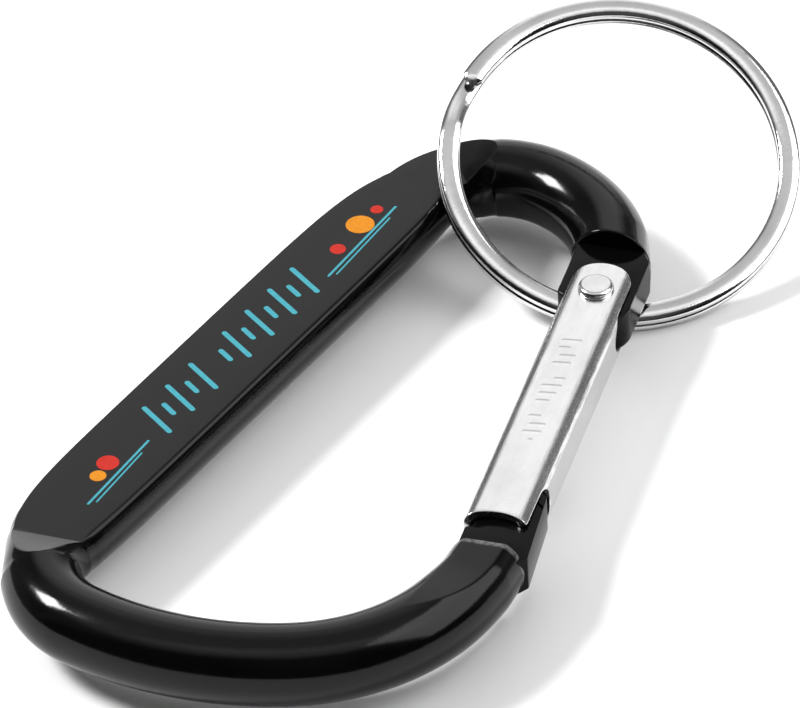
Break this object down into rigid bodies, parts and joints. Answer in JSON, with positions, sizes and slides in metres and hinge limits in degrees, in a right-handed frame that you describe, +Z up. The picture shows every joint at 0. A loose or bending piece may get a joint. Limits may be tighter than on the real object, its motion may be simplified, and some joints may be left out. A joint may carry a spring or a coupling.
{
  "type": "carabiner keyring",
  "caption": "Small bent-rod carabiner with a pressed flat spine, a sprung folded gate and a split key ring hung on its narrow bend.",
  "frame": {"origin": "under the middle of the whole object, at its lowest point, which is on the split ring", "axes": "+Y runs along the spine towards the narrow end with the ring, +X from the spine towards the gate, +Z up through the flat frame"},
  "size_m": [0.0366, 0.0794, 0.0142],
  "materials": {
    "black_frame": "gloss black anodised",
    "gate_steel": "bright plated sheet",
    "rivet_steel": "bright",
    "plunger_steel": "turned",
    "spring_steel": "drawn wire",
    "ring_steel": "polished plated"
  },
  "bodies": {
    "frame": {"frame": "black_frame"},
    "gate": {"gate_shell": "gate_steel", "hinge_rivet": "rivet_steel", "gate_spring": "spring_steel"},
    "plunger": {"spring_plunger": "plunger_steel"},
    "ring": {"split_ring": "ring_steel"}
  },
  "joints": [
    {"name": "gate_hinge", "type": "hinge", "parent": "frame", "child": "gate", "pos_m": [0.00575, 0.01278, 0.00453], "axis": [0, 0, -1], "range_deg": [0, 25], "stiffness_Nm_per_rad": 0.05, "springref_deg": -28.65},
    {"name": "plunger_slide", "type": "slide", "parent": "gate", "child": "plunger", "axis": [0.2965, -0.955, 0], "range_m": [0, 0.0003], "deforming": ["gate_spring"]},
    {"name": "ring_swing", "type": "hinge", "parent": "frame", "child": "ring", "pos_m": [-0.00671, 0.015, 0.00503], "axis": [0.9445, 0.1469, -0.2939], "range_deg": [0, 100]}
  ],
  "couplings": [
    {"joint": "plunger_slide", "follows": "gate_hinge", "m_per_rad": 0.0006}
  ]
}
